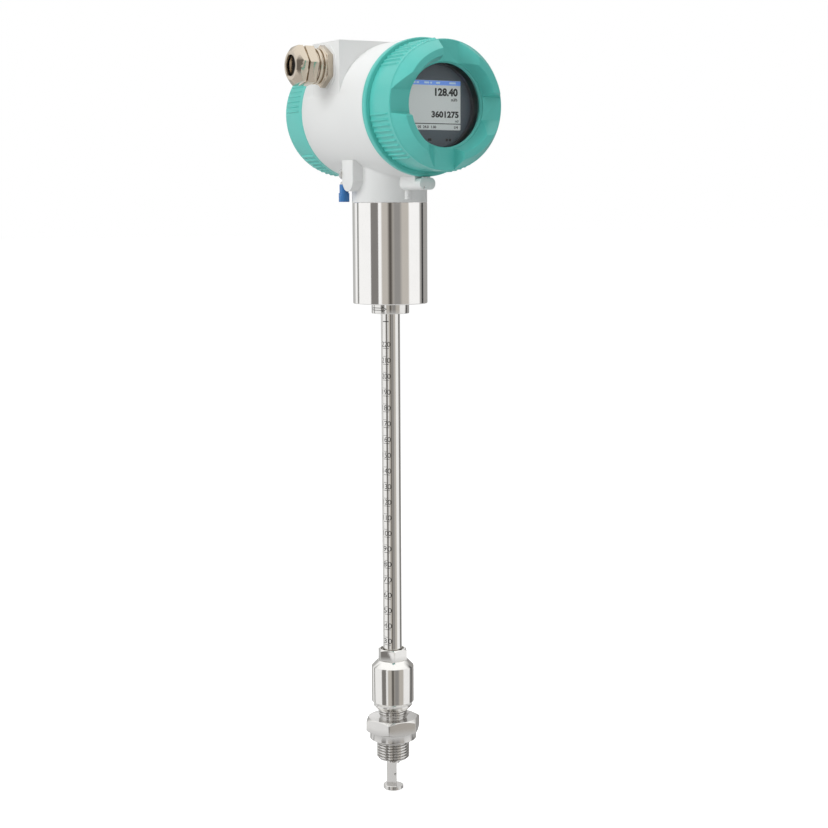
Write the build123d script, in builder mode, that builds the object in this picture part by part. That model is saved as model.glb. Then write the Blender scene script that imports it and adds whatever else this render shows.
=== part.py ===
"""Insertion flow sensor: display head, sensor sleeve, graduated probe and compression fitting.

Millimetres, Z up.  The origin is on the probe axis, at the sealing seat of the process thread,
so everything below zero sits inside the pipe.  The display faces -Y and the cable gland -X.
"""

import math
import os

from build123d import *

os.makedirs("parts", exist_ok=True)

# Running clearance of the probe in its fitting, and seating clearance of the screwed pieces.
SLIDE_GAP = 0.05
SCREW_GAP = 0.05

# Probe: a graduated tube.  The radii of the fitting, ring and tip follow from it.
SHAFT_R = 6.0
SHAFT_BORE_R = SHAFT_R - 1.4
SHAFT_FOOT = -9.0
FACE_TURN = 210.0
TIP_STEM_R = SHAFT_R - 1.8
TIP_FLAT_DEPTH = TIP_STEM_R / 2
TIP_DISC_R = SHAFT_R + 0.4
TIP_DISC_FOOT = -33.8
TIP_DISC_TOP = TIP_DISC_FOOT + 3.0
PORT_R = 0.85
PORT_OFFSET = TIP_STEM_R - 1.35
PORT_Z = TIP_DISC_TOP + 7.2
TIP_FLAT_TOP = PORT_Z + 8.0
TUBE_R = 0.8
TUBE_OFFSET = 1.8

# Process connection: G 1/2 thread below a round seat, a hexagon, and a threaded neck above.
# The thread is its plain outside cylinder, as the neck's is.
THREAD_R = 10.48
THREAD_LENGTH = 13.4
THREAD_CHAMFER = 1.5
SEAT_R = THREAD_R + 4.42
SEAT_HEIGHT = 5.0
BIG_HEX_AF = 2 * SEAT_R + 2.2
BIG_HEX_CORNER_R = BIG_HEX_AF / math.sqrt(3)
BIG_HEX_TOP = SEAT_HEIGHT + 9.2
BIG_HEX_TURN = -126.8
NECK_R = SHAFT_R + 3.2
NECK_ROOT_R = NECK_R - 1.0
NECK_GROOVE = 1.2

# Clamping sleeve screwed over that neck.
SLEEVE_R = NECK_R + 4.3
SLEEVE_BOTTOM = BIG_HEX_TOP + 5.1
SLEEVE_BOTTOM_R = NECK_R + 0.55
SLEEVE_RING_R = SLEEVE_R - 1.2
SLEEVE_RING_FOOT = SLEEVE_BOTTOM + 2.7
SLEEVE_RING_TOP = SLEEVE_RING_FOOT + 1.6
SLEEVE_FOOT = SLEEVE_RING_TOP + 1.3
SLEEVE_SHOULDER = SLEEVE_FOOT + 23.2
SLEEVE_TOP = SLEEVE_SHOULDER + 4.0
SLEEVE_TOP_R = SLEEVE_R - 3.9
NECK_TOP = SLEEVE_BOTTOM + 13.7
SLEEVE_WEB_FOOT = NECK_TOP + 3.0
SLEEVE_WEB_TOP = SLEEVE_WEB_FOOT + 2.4
SLEEVE_CONE_TOP = SLEEVE_WEB_TOP + 2.6

# Compression nut, clamping ring and shaft seal inside the sleeve.
NUT_SPIGOT_R = SHAFT_R + 2.0
NUT_SPIGOT_FOOT = SLEEVE_CONE_TOP + 5.0
NUT_AF = 2 * NUT_SPIGOT_R + 1.0
NUT_CORNER_R = NUT_AF / math.sqrt(3)
NUT_TOP = SLEEVE_TOP + 7.2
NUT_TURN = -109.8
NUT_MOUTH_R = SHAFT_R + 1.3
CLAMP_RING_R = NUT_SPIGOT_R - 0.1

# Sensor sleeve between the probe and the head, with the arrow ring under it.
COLLAR_R = 23.3
COLLAR_FOOT = 280.5
COLLAR_TOP = COLLAR_FOOT + 62.6
COLLAR_WALL = 2.2
COLLAR_FLOOR = 5.0
RING_R = SHAFT_R + 5.8
RING_FOOT = COLLAR_FOOT - 6.3
SHAFT_TOP = COLLAR_FOOT + 9.5
SPIGOT_LENGTH = 10.0
NECK_GROOVE_R = COLLAR_R - 3.9
NECK_BORE_R = COLLAR_R - 6.3
NECK_FILLET = 2.3
SENSOR_BOARD_R = COLLAR_R - COLLAR_WALL - 3.1
MANIFOLD_R = SENSOR_BOARD_R - 3.0

# Head: a horizontal casting with a round cover at each end.  The radii of the covers, and of
# all that they hold, follow from the casting's.
HEAD_R = 40.7
HEAD_Z = COLLAR_TOP + HEAD_R + 15.08
HEAD_FRONT = 41.5
HEAD_REAR = 39.5
COVER_SPIGOT_R = HEAD_R - 5.7
COVER_SPIGOT_LENGTH = 8.0
COVER_BORE_R = COVER_SPIGOT_R - 3.5
HEAD_BORE_R = COVER_SPIGOT_R - 1.0
PARTITION_FRONT = 8.0
PARTITION_THICK = 3.0

# Square boss for the cable gland, with its raised spotface.
BOSS_X = -HEAD_R + 1.0
BOSS_WIDTH = 36.0
BOSS_FRONT = -10.9
BOSS_REAR = BOSS_FRONT + BOSS_WIDTH
BOSS_TOP = HEAD_Z + HEAD_R + 0.02
GLAND_Y = BOSS_FRONT + 18.0
GLAND_Z = BOSS_TOP - 14.7
SPOT_R = 13.9
SPOT_RAISE = 0.5

# Covers.  Each has a lip against the casting and a knurled barrel; the front one has a face
# with four raised sectors round the window.
LIP_R = HEAD_R + 0.15
LIP_LENGTH = 4.3
BARREL_R = LIP_R - 2.95
RIM_L = HEAD_FRONT + 28.25
FACE_OUT_R = BARREL_R - 0.6
CREST_L = RIM_L + 8.75
CREST_OUT_R = FACE_OUT_R - 5.0
CREST_IN_R = CREST_OUT_R - 4.0
FACE_IN_R = CREST_IN_R - 3.3
CHANNEL_STEEP = 5.2
CHANNEL_RAMP = 8.1
RAMP_END = CHANNEL_RAMP + 9.0
RIDGE_PITCH = 4.9
RIDGE_COUNT = 10
RIDGE_HEIGHT = 1.0
RIDGE_WIDTH = 1.9
RIDGE_END_GAP = 2.55
FRONT_RIDGE_TURN = 30.5
REAR_RIDGE_TURN = 65.5
REAR_END = HEAD_REAR + 29.8

# Window stack inside the front cover.
WINDOW_R = FACE_IN_R - 0.7
LENS_R = WINDOW_R + 3.1
LENS_FRONT = RIM_L - 4.25
LENS_BACK = LENS_FRONT - 5.5
GASKET_THICK = 0.7
RETAINER_BACK = LENS_BACK - 3.0
RETAINER_IN_R = WINDOW_R - 0.1

# Display unit behind the window.
BEZEL_R = LENS_R + 2.1
BEZEL_FRONT = RETAINER_BACK - 0.5
BEZEL_FACE = 2.0
BEZEL_WALL = 1.6
SCREEN_W = 1.2 * BEZEL_R
SCREEN_H = 0.976 * BEZEL_R
SCREEN_Z = 0.6
PANEL_W = SCREEN_W + 4.2
PANEL_H = SCREEN_H + 4.2
BOARD_FRONT = BEZEL_FRONT - 8.9
BOARD_THICK = 1.6
STANDOFF_RADIUS = BEZEL_R - 4.0
STANDOFF_R = 2.6

# Terminals in the rear compartment.
TERMINAL_W = 1.35 * HEAD_BORE_R
TERMINAL_H = 0.94 * HEAD_BORE_R
TERMINAL_LIFT = 6.0
TERMINAL_HEIGHT = 11.0

# Earthing lug on the left of the neck.
LUG_X = -COLLAR_R - 6.0
LUG_HALF = 7.0
LUG_FOOT = COLLAR_TOP + 6.7
EARTH_X = LUG_X + 3.0
EARTH_Z = LUG_FOOT + 10.7
EARTH_WIRE_Y = LUG_HALF + 3.6

# Boss for the screw that locks the front cover.
LOCK_HALF = 5.3
LOCK_FRONT = HEAD_FRONT + 6.1
LOCK_FOOT = HEAD_Z - LIP_R - 7.73
LOCK_TOP = HEAD_Z - LIP_R - 0.53
LOCK_Y = -HEAD_FRONT - 2.3
LOCK_SCREW_R = 2.0

# M20 cable gland: its hexagons, threads and passages.
GLAND_AF = 22.0
GLAND_THREAD_R = 10.0
GLAND_BORE_R = 7.5
GLAND_NOSE_R = GLAND_THREAD_R - 0.7
GLAND_SEAL_R = GLAND_BORE_R - 0.4
GLAND_MOUTH_R = GLAND_SEAL_R - 0.7
GLAND_PASSAGE_R = GLAND_SEAL_R - 2.5

head_axis = Axis((0, 0, HEAD_Z), (0, -1, 0))
front_plane = Plane(origin=(0, 0, HEAD_Z), x_dir=(1, 0, 0), z_dir=(0, -1, 0))
front_section = Plane(origin=(0, 0, HEAD_Z), x_dir=(1, 0, 0), z_dir=(0, 0, -1))
rear_section = Plane(origin=(0, 0, HEAD_Z), x_dir=(1, 0, 0), z_dir=(0, 0, 1))
gland_plane = Plane(origin=(BOSS_X, GLAND_Y, GLAND_Z), x_dir=(0, -1, 0), z_dir=(-1, 0, 0))


# The hexagon's chamfered corners come from a turned blank crossed with the hexagonal bar.
with BuildPart() as big_hex_blank:
    with BuildSketch(Plane.XZ):
        with BuildLine():
            Polyline(
                (0, SEAT_HEIGHT),
                (BIG_HEX_AF / 2 - 0.4, SEAT_HEIGHT),
                (BIG_HEX_CORNER_R + 0.1, SEAT_HEIGHT + 1.7),
                (BIG_HEX_CORNER_R + 0.1, BIG_HEX_TOP - 1.7),
                (BIG_HEX_AF / 2 - 0.4, BIG_HEX_TOP),
                (0, BIG_HEX_TOP),
                close=True,
            )
        make_face()
    revolve(axis=Axis.Z)
    with BuildSketch(Plane.XY.offset(SEAT_HEIGHT)):
        RegularPolygon(BIG_HEX_AF / 2, 6, major_radius=False, rotation=BIG_HEX_TURN)
    extrude(amount=BIG_HEX_TOP - SEAT_HEIGHT, mode=Mode.INTERSECT)

with BuildPart() as process_connection:
    add(big_hex_blank.part)
    with BuildSketch(Plane.XZ):
        with BuildLine():
            Polyline(
                (SHAFT_R + SLIDE_GAP, -THREAD_LENGTH),
                (THREAD_R - THREAD_CHAMFER, -THREAD_LENGTH),
                (THREAD_R, -THREAD_LENGTH + THREAD_CHAMFER),
                (THREAD_R, 0),
                (SEAT_R - 0.5, 0),
                (SEAT_R, 0.5),
                (SEAT_R, SEAT_HEIGHT),
                (NECK_R, BIG_HEX_TOP - 1),
                (NECK_ROOT_R, BIG_HEX_TOP),
                (NECK_ROOT_R, BIG_HEX_TOP + NECK_GROOVE),
                (NECK_R, BIG_HEX_TOP + NECK_GROOVE + 0.8),
                (NECK_R, NECK_TOP - 0.8),
                (NECK_R - 0.8, NECK_TOP),
                (SHAFT_R + SLIDE_GAP, NECK_TOP),
                close=True,
            )
        make_face()
    revolve(axis=Axis.Z)
    with BuildSketch(Plane.XY.offset(-THREAD_LENGTH)):
        Circle(SHAFT_R + SLIDE_GAP)
    extrude(amount=THREAD_LENGTH + NECK_TOP, mode=Mode.SUBTRACT)

with BuildPart() as clamping_sleeve:
    with BuildSketch(Plane.XZ):
        with BuildLine():
            Polyline(
                (NECK_R + SCREW_GAP, SLEEVE_BOTTOM),
                (SLEEVE_BOTTOM_R, SLEEVE_BOTTOM),
                (SLEEVE_RING_R, SLEEVE_RING_FOOT),
                (SLEEVE_RING_R, SLEEVE_RING_TOP),
                (SLEEVE_R, SLEEVE_FOOT),
                (SLEEVE_R, SLEEVE_SHOULDER),
                (SLEEVE_TOP_R, SLEEVE_TOP),
                (NUT_SPIGOT_R + SCREW_GAP, SLEEVE_TOP),
                (NUT_SPIGOT_R + SCREW_GAP, SLEEVE_CONE_TOP),
                (SHAFT_R + 0.5, SLEEVE_WEB_TOP),
                (SHAFT_R + 0.5, SLEEVE_WEB_FOOT),
                (NECK_R + SCREW_GAP, SLEEVE_WEB_FOOT),
                close=True,
            )
        make_face()
    revolve(axis=Axis.Z)

with BuildPart() as compression_nut:
    with BuildSketch(Plane.XZ):
        with BuildLine():
            Polyline(
                (SHAFT_R + 0.4, NUT_SPIGOT_FOOT),
                (NUT_SPIGOT_R, NUT_SPIGOT_FOOT),
                (NUT_SPIGOT_R, SLEEVE_TOP),
                (NUT_CORNER_R + 0.1, SLEEVE_TOP),
                (NUT_CORNER_R + 0.1, NUT_TOP - 1.0),
                (NUT_AF / 2 - 0.2, NUT_TOP),
                (NUT_MOUTH_R, NUT_TOP),
                (NUT_MOUTH_R, NUT_TOP - 2.5),
                (SHAFT_R + 0.4, NUT_TOP - 3.4),
                close=True,
            )
        make_face()
    revolve(axis=Axis.Z)
    with BuildSketch(Plane.XY.offset(NUT_SPIGOT_FOOT)):
        RegularPolygon(NUT_AF / 2, 6, major_radius=False, rotation=NUT_TURN)
    extrude(amount=NUT_TOP - NUT_SPIGOT_FOOT, mode=Mode.INTERSECT)

# Split clamping ring: its cone seats in the sleeve and its top under the nut.
with BuildPart() as clamping_ring:
    with BuildSketch(Plane.XZ):
        with BuildLine():
            Polyline(
                (SHAFT_R + SLIDE_GAP, SLEEVE_WEB_TOP + 0.8),
                (SHAFT_R + 0.85, SLEEVE_WEB_TOP + 0.8),
                (CLAMP_RING_R, SLEEVE_CONE_TOP + 0.2),
                (CLAMP_RING_R, NUT_SPIGOT_FOOT - 0.1),
                (SHAFT_R + SLIDE_GAP, NUT_SPIGOT_FOOT - 0.1),
                close=True,
            )
        make_face()
    revolve(axis=Axis.Z)
    with BuildSketch(Plane.XY.offset(SLEEVE_WEB_TOP)):
        with Locations((0, SHAFT_R + 1)):
            Rectangle(0.8, 5)
    extrude(amount=NUT_SPIGOT_FOOT - SLEEVE_WEB_TOP, mode=Mode.SUBTRACT)

with BuildPart() as shaft_seal:
    with BuildSketch(Plane.XZ):
        with Locations((SHAFT_R + SLIDE_GAP + 1.45, SLEEVE_WEB_FOOT - 1.5)):
            Circle(1.45)
    revolve(axis=Axis.Z)

with BuildPart() as probe_shaft:
    with BuildSketch(Plane.XY.offset(SHAFT_FOOT)):
        Circle(SHAFT_R)
        Circle(SHAFT_BORE_R, mode=Mode.SUBTRACT)
    extrude(amount=SHAFT_TOP - SHAFT_FOOT)
    foot_edge = edges().filter_by(GeomType.CIRCLE).group_by(Axis.Z)[0].sort_by(SortBy.RADIUS)[-1]
    chamfer(foot_edge, 0.4)

# The blade of the tip is the round stem with a flat milled on each side.
flat_direction = Vector(math.cos(math.radians(FACE_TURN)), math.sin(math.radians(FACE_TURN)), 0)
across_flats = Vector(-flat_direction.Y, flat_direction.X, 0)
flat_plane = Plane(origin=(0, 0, PORT_Z), x_dir=across_flats, z_dir=flat_direction)

with BuildPart() as probe_tip:
    with BuildSketch(Plane.XZ):
        with BuildLine():
            Polyline(
                (0, TIP_DISC_FOOT),
                (TIP_DISC_R - 0.5, TIP_DISC_FOOT),
                (TIP_DISC_R, TIP_DISC_FOOT + 0.5),
                (TIP_DISC_R, TIP_DISC_TOP - 0.3),
                (TIP_DISC_R - 0.3, TIP_DISC_TOP),
                (TIP_STEM_R, TIP_DISC_TOP),
                (TIP_STEM_R, SHAFT_FOOT - 1.2),
                (SHAFT_R - 0.4, SHAFT_FOOT),
                (SHAFT_BORE_R, SHAFT_FOOT),
                (SHAFT_BORE_R, 0),
                (0, 0),
                close=True,
            )
        make_face()
    revolve(axis=Axis.Z)
    for side in (0, 180):
        with BuildSketch(flat_plane.rotated((0, side, 0)).offset(TIP_FLAT_DEPTH)):
            with Locations((0, (TIP_DISC_TOP + TIP_FLAT_TOP) / 2 - PORT_Z)):
                Rectangle(3 * TIP_STEM_R, TIP_FLAT_TOP - TIP_DISC_TOP)
        extrude(amount=TIP_STEM_R, mode=Mode.SUBTRACT)
    with BuildSketch(flat_plane.offset(-5)):
        with Locations((PORT_OFFSET, 0)):
            Circle(PORT_R)
    extrude(amount=10, mode=Mode.SUBTRACT)
    with BuildSketch(Plane.XY.offset(-3)):
        with Locations((TUBE_OFFSET, 0), (-TUBE_OFFSET, 0)):
            Circle(TUBE_R + SCREW_GAP)
    extrude(amount=3, mode=Mode.SUBTRACT)

# Two fine tubes carry the pressures from the tip to the sensor.
with BuildPart() as pressure_tubes:
    with BuildSketch(Plane.XY.offset(-3)):
        with Locations((TUBE_OFFSET, 0), (-TUBE_OFFSET, 0)):
            Circle(TUBE_R)
            Circle(TUBE_R - 0.35, mode=Mode.SUBTRACT)
    extrude(amount=SHAFT_TOP + 4 + 3)

with BuildPart() as arrow_ring:
    with BuildSketch(Plane.XY.offset(RING_FOOT)):
        Circle(RING_R)
        Circle(SHAFT_R + SLIDE_GAP, mode=Mode.SUBTRACT)
    extrude(amount=COLLAR_FOOT - RING_FOOT)
    chamfer(edges().filter_by(GeomType.CIRCLE).sort_by(SortBy.RADIUS)[-2:].sort_by(Axis.Z)[0], 0.4)

with BuildPart() as sensor_sleeve:
    with BuildSketch(Plane.XZ):
        with BuildLine():
            Polyline(
                (SHAFT_R + SLIDE_GAP, COLLAR_FOOT),
                (COLLAR_R - 0.5, COLLAR_FOOT),
                (COLLAR_R, COLLAR_FOOT + 0.5),
                (COLLAR_R, COLLAR_TOP),
                (COLLAR_R - COLLAR_WALL, COLLAR_TOP),
                (COLLAR_R - COLLAR_WALL, COLLAR_FOOT + COLLAR_FLOOR),
                (SHAFT_R + SLIDE_GAP, COLLAR_FOOT + COLLAR_FLOOR),
                close=True,
            )
        make_face()
    revolve(axis=Axis.Z)

# Block that joins the two tubes to the differential pressure sensor.
with BuildPart() as sensor_manifold:
    with BuildSketch(Plane.XY.offset(COLLAR_FOOT + COLLAR_FLOOR)):
        Circle(MANIFOLD_R)
        Circle(SHAFT_R + SLIDE_GAP, mode=Mode.SUBTRACT)
    extrude(amount=SHAFT_TOP - COLLAR_FOOT - COLLAR_FLOOR)
    with BuildSketch(Plane.XY.offset(SHAFT_TOP)):
        Circle(MANIFOLD_R)
        with Locations((TUBE_OFFSET, 0), (-TUBE_OFFSET, 0)):
            Circle(TUBE_R + SCREW_GAP, mode=Mode.SUBTRACT)
    extrude(amount=4)
    with BuildSketch(Plane.XY.offset(SHAFT_TOP + 4)):
        Rectangle(20, 16)
    extrude(amount=9)

with BuildPart() as sensor_board:
    with BuildSketch(Plane.XY.offset(SHAFT_TOP + 13)):
        Circle(SENSOR_BOARD_R)
        with Locations((0, SENSOR_BOARD_R - 5)):
            Circle(1.6, mode=Mode.SUBTRACT)
    extrude(amount=1.6)
    with BuildSketch(Plane.XY.offset(SHAFT_TOP + 14.6)):
        with Locations((-6, -3)):
            Rectangle(7, 7)
        with Locations((6, -4)):
            Rectangle(8, 5)
    extrude(amount=1.4)

# The casting: head cylinder, square gland boss, neck, earthing lug and lock boss.
with BuildPart() as housing_body:
    with BuildSketch(front_plane.offset(-HEAD_REAR)):
        Circle(HEAD_R)
    extrude(amount=HEAD_REAR + HEAD_FRONT)
    with BuildSketch(Plane.XY.offset(COLLAR_TOP)):
        Circle(COLLAR_R)
    extrude(until=Until.NEXT)
    fillet(edges().filter_by(GeomType.BSPLINE), NECK_FILLET)
    with BuildSketch(Plane.XZ.offset(-BOSS_REAR)):
        with BuildLine():
            Polyline((BOSS_X, HEAD_Z), (0, HEAD_Z), (0, BOSS_TOP), (BOSS_X, BOSS_TOP), close=True)
        make_face()
    extrude(amount=BOSS_REAR - BOSS_FRONT)
    boss_corners = edges().filter_by(Axis.Y).sort_by(Axis.X)[0:1]
    fillet(boss_corners, 0.8)
    with BuildSketch(gland_plane):
        Circle(SPOT_R)
    extrude(amount=SPOT_RAISE)
    with BuildSketch(Plane.YZ.offset(LUG_X)):
        with Locations((0, LUG_FOOT + LUG_HALF)):
            Circle(LUG_HALF)
        with Locations((0, LUG_FOOT + LUG_HALF + 6)):
            Rectangle(2 * LUG_HALF, 12)
    extrude(amount=-LUG_X)
    with BuildSketch(Plane.XZ):
        with BuildLine():
            Polyline(
                (-LOCK_HALF, LOCK_TOP),
                (-LOCK_HALF, LOCK_FOOT),
                (LOCK_HALF, LOCK_FOOT),
                (LOCK_HALF, LOCK_TOP),
                close=True,
            )
        make_face()
        fillet(vertices().group_by(Axis.Z)[0], 3.4)
    extrude(amount=LOCK_FRONT)
    with BuildSketch(Plane.XZ):
        with Locations((0, LOCK_TOP)):
            Rectangle(2 * LOCK_HALF, 8)
    extrude(amount=HEAD_FRONT)
    with BuildSketch(Plane.XY.offset(COLLAR_TOP + 1.7)):
        with Locations((0, -COLLAR_R)):
            Circle(2.2)
    extrude(amount=6.5)
    with BuildSketch(front_plane.offset(-HEAD_REAR)):
        Circle(COVER_SPIGOT_R + SCREW_GAP)
    extrude(amount=COVER_SPIGOT_LENGTH + 0.5, mode=Mode.SUBTRACT)
    with BuildSketch(front_plane.offset(-HEAD_REAR)):
        Circle(HEAD_BORE_R)
    extrude(amount=HEAD_REAR + PARTITION_FRONT - PARTITION_THICK, mode=Mode.SUBTRACT)
    with BuildSketch(front_plane.offset(HEAD_FRONT)):
        Circle(COVER_SPIGOT_R + SCREW_GAP)
    extrude(amount=-COVER_SPIGOT_LENGTH - 0.5, mode=Mode.SUBTRACT)
    with BuildSketch(front_plane.offset(HEAD_FRONT)):
        Circle(HEAD_BORE_R)
    extrude(amount=-HEAD_FRONT + PARTITION_FRONT, mode=Mode.SUBTRACT)
    with BuildSketch(gland_plane.offset(SPOT_RAISE)):
        Circle(GLAND_THREAD_R + SCREW_GAP)
    extrude(amount=-24, mode=Mode.SUBTRACT)

    # Neck: spigot for the sensor sleeve with its seal groove, and the way through for the wires.
    with BuildSketch(Plane.XY.offset(COLLAR_TOP - SPIGOT_LENGTH)):
        Circle(COLLAR_R - COLLAR_WALL - SCREW_GAP)
    extrude(amount=SPIGOT_LENGTH)
    with BuildSketch(Plane.XZ):
        with Locations((NECK_GROOVE_R + 1.0, COLLAR_TOP - 6)):
            Rectangle(2, 1.8)
    revolve(axis=Axis.Z, mode=Mode.SUBTRACT)
    with BuildSketch(Plane.XY.offset(COLLAR_TOP - SPIGOT_LENGTH)):
        Circle(NECK_BORE_R)
    extrude(amount=SPIGOT_LENGTH + 13, mode=Mode.SUBTRACT)
    with BuildSketch(Plane.XY.offset(COLLAR_TOP)):
        with Locations((0, 6)):
            Circle(4.5)
    extrude(amount=24, mode=Mode.SUBTRACT)
    # Earthing screw hole, lock screw hole and the seal wire hole beside it.
    with BuildSketch(Plane.XZ.offset(-LUG_HALF)):
        with Locations((EARTH_X, EARTH_Z)):
            Circle(2.0)
    extrude(amount=10, mode=Mode.SUBTRACT)
    with BuildSketch(Plane.XY.offset(LOCK_FOOT)):
        with Locations((0, LOCK_Y)):
            Circle(LOCK_SCREW_R + SCREW_GAP)
    extrude(amount=LOCK_TOP - LOCK_FOOT, mode=Mode.SUBTRACT)
    with BuildSketch(Plane.XZ.offset(LOCK_FRONT)):
        with Locations((-2.4, LOCK_FOOT + 1.3)):
            Circle(0.7)
    extrude(amount=-1.2, mode=Mode.SUBTRACT)

with BuildPart() as sleeve_seal:
    with BuildSketch(Plane.XZ):
        with Locations((NECK_GROOVE_R + 0.83, COLLAR_TOP - 6)):
            Circle(0.8)
    revolve(axis=Axis.Z)

# Knurling of a cover: four groups of ridges, sloped at both ends by a turned blank.
ridge_shapes = []
for turn, start, end in (
    (FRONT_RIDGE_TURN, HEAD_FRONT + LIP_LENGTH, RIM_L - RIDGE_END_GAP),
    (REAR_RIDGE_TURN, -REAR_END + RIDGE_END_GAP, -HEAD_REAR - LIP_LENGTH),
):
    with BuildPart() as ridges:
        with BuildSketch(front_plane.offset(start)):
            for group in range(4):
                first = turn + 90 * group - RIDGE_PITCH * (RIDGE_COUNT - 1) / 2
                spread = RIDGE_PITCH * (RIDGE_COUNT - 1)
                with PolarLocations(BARREL_R + 0.4, RIDGE_COUNT, first, spread, endpoint=True):
                    Trapezoid(RIDGE_WIDTH, 1.8, 66, rotation=-90)
        extrude(amount=end - start)
    with BuildPart() as blank:
        with BuildSketch(front_section):
            with BuildLine():
                Polyline(
                    (BARREL_R - 0.9, start),
                    (BARREL_R + RIDGE_HEIGHT, start),
                    (BARREL_R + RIDGE_HEIGHT, end),
                    (BARREL_R - 0.9, end),
                    close=True,
                )
            make_face()
        revolve(axis=head_axis)
        ends = edges().filter_by(GeomType.CIRCLE).sort_by(SortBy.RADIUS)[-2:]
        chamfer(ends.sort_by(Axis.Y)[0:1], 1.3)
        chamfer(edges().filter_by(GeomType.CIRCLE).sort_by(SortBy.RADIUS)[-1:], 1.3)
    ridge_shapes.append(ridges.part & blank.part)
front_ridges, rear_ridges = ridge_shapes

# One face channel: steep on one side, a long ramp on the other.
with BuildPart() as channel:
    with BuildSketch(Plane.XY.offset(HEAD_Z)):
        with BuildLine():
            Polyline(
                (-CHANNEL_STEEP, -RIM_L),
                (CHANNEL_RAMP, -RIM_L),
                (RAMP_END, -CREST_L),
                (RAMP_END, -CREST_L - 2),
                (-CHANNEL_STEEP - 2.2, -CREST_L - 2),
                (-CHANNEL_STEEP - 1.8, -CREST_L),
                close=True,
            )
        make_face()
    extrude(amount=LIP_R)
channels = [channel.part.rotate(head_axis, 90 * step) for step in range(4)]

with BuildPart() as sectors:
    with BuildSketch(front_section):
        with BuildLine():
            Polyline(
                (FACE_IN_R + 0.3, RIM_L - 1),
                (FACE_IN_R + 0.3, RIM_L),
                (CREST_IN_R, CREST_L),
                (CREST_OUT_R, CREST_L),
                (FACE_OUT_R, RIM_L),
                (FACE_OUT_R, RIM_L - 1),
                close=True,
            )
        make_face()
    revolve(axis=head_axis)
    for cutter in channels:
        add(cutter, mode=Mode.SUBTRACT)

with BuildPart() as front_cover:
    with BuildSketch(front_section):
        with BuildLine():
            Polyline(
                (COVER_BORE_R, HEAD_FRONT - COVER_SPIGOT_LENGTH),
                (COVER_SPIGOT_R, HEAD_FRONT - COVER_SPIGOT_LENGTH),
                (COVER_SPIGOT_R, HEAD_FRONT - 2.4),
                (COVER_SPIGOT_R - 2, HEAD_FRONT - 2.4),
                (COVER_SPIGOT_R - 2, HEAD_FRONT - 0.4),
                (COVER_SPIGOT_R, HEAD_FRONT - 0.4),
                (COVER_SPIGOT_R, HEAD_FRONT),
                (LIP_R - 0.5, HEAD_FRONT),
                (LIP_R, HEAD_FRONT + 0.5),
                (LIP_R, HEAD_FRONT + LIP_LENGTH - 0.6),
                (LIP_R - 0.6, HEAD_FRONT + LIP_LENGTH),
                (BARREL_R, HEAD_FRONT + LIP_LENGTH),
                (BARREL_R, RIM_L - 0.5),
                (BARREL_R - 0.5, RIM_L),
                (FACE_IN_R, RIM_L),
                (FACE_IN_R, RIM_L - 1.2),
                (WINDOW_R, RIM_L - 1.8),
                (WINDOW_R, LENS_FRONT + GASKET_THICK),
                (LENS_R + SCREW_GAP, LENS_FRONT + GASKET_THICK),
                (LENS_R + SCREW_GAP, RETAINER_BACK),
                (COVER_BORE_R, RETAINER_BACK),
                close=True,
            )
        make_face()
    revolve(axis=head_axis)
    add(front_ridges)
    add(sectors.part)

with BuildPart() as rear_cover:
    with BuildSketch(rear_section):
        with BuildLine():
            Polyline(
                (COVER_BORE_R, HEAD_REAR - COVER_SPIGOT_LENGTH),
                (COVER_SPIGOT_R, HEAD_REAR - COVER_SPIGOT_LENGTH),
                (COVER_SPIGOT_R, HEAD_REAR - 2.4),
                (COVER_SPIGOT_R - 2, HEAD_REAR - 2.4),
                (COVER_SPIGOT_R - 2, HEAD_REAR - 0.4),
                (COVER_SPIGOT_R, HEAD_REAR - 0.4),
                (COVER_SPIGOT_R, HEAD_REAR),
                (LIP_R - 0.5, HEAD_REAR),
                (LIP_R, HEAD_REAR + 0.5),
                (LIP_R, HEAD_REAR + LIP_LENGTH - 0.6),
                (LIP_R - 0.6, HEAD_REAR + LIP_LENGTH),
                (BARREL_R, HEAD_REAR + LIP_LENGTH),
                (BARREL_R, REAR_END - 0.6),
                (BARREL_R - 0.6, REAR_END),
                (0, REAR_END),
                (0, REAR_END - 5),
                (COVER_BORE_R - 3, REAR_END - 5),
                (COVER_BORE_R, REAR_END - 8),
                close=True,
            )
        make_face()
    revolve(axis=head_axis)
    add(rear_ridges)

with BuildPart() as front_cover_seal:
    with BuildSketch(front_section):
        with Locations((COVER_SPIGOT_R - 0.99, HEAD_FRONT - 1.4)):
            Circle(0.97)
    revolve(axis=head_axis)

with BuildPart() as rear_cover_seal:
    with BuildSketch(rear_section):
        with Locations((COVER_SPIGOT_R - 0.99, HEAD_REAR - 1.4)):
            Circle(0.97)
    revolve(axis=head_axis)

with BuildPart() as window_glass:
    with BuildSketch(front_plane.offset(LENS_BACK)):
        Circle(LENS_R)
    extrude(amount=LENS_FRONT - LENS_BACK)
    chamfer(edges(), 0.4)

with BuildPart() as window_gasket:
    with BuildSketch(front_plane.offset(LENS_FRONT)):
        Circle(LENS_R)
        Circle(WINDOW_R + 0.3, mode=Mode.SUBTRACT)
    extrude(amount=GASKET_THICK)

with BuildPart() as window_retainer:
    with BuildSketch(front_plane.offset(RETAINER_BACK)):
        Circle(LENS_R)
        Circle(RETAINER_IN_R, mode=Mode.SUBTRACT)
    extrude(amount=LENS_BACK - RETAINER_BACK)
    with BuildSketch(front_plane.offset(RETAINER_BACK)):
        with PolarLocations(LENS_R - 1.5, 2):
            Rectangle(2, 2)
    extrude(amount=1, mode=Mode.SUBTRACT)

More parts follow.
